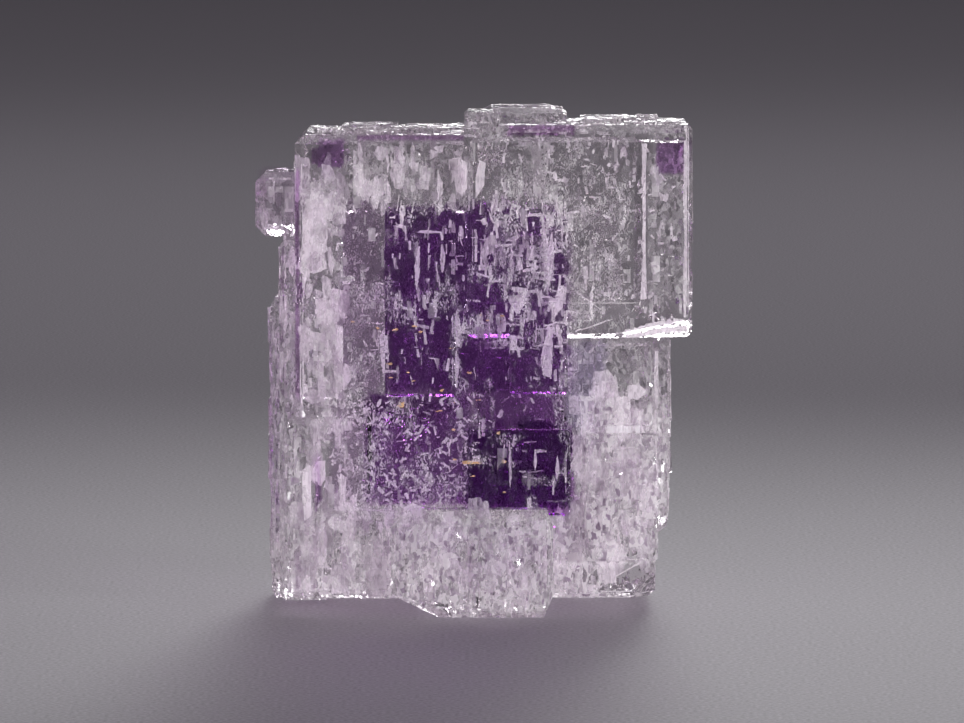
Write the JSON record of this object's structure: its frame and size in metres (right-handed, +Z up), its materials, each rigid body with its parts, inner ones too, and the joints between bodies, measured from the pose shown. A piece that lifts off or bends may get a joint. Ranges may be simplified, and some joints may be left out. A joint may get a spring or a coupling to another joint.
{
  "type": "fluorite specimen",
  "caption": "Thumbnail fluorite specimen: intergrown clear cubes with stepped mosaic faces, deep purple zones inside and a small cube on one side.",
  "frame": {"origin": "middle of the footprint, on the surface the specimen rests on", "axes": "+Z up along the tall side, +X to the right seen from the front, the mosaic front faces -Y"},
  "size_m": [0.0214, 0.014, 0.0248],
  "materials": {
    "clear_fluorite": "glossy crystal faces, part frosted, with purple colour zones inside"
  },
  "bodies": {
    "root": {"fluorite_crystal": "clear_fluorite"}
  },
  "joints": []
}
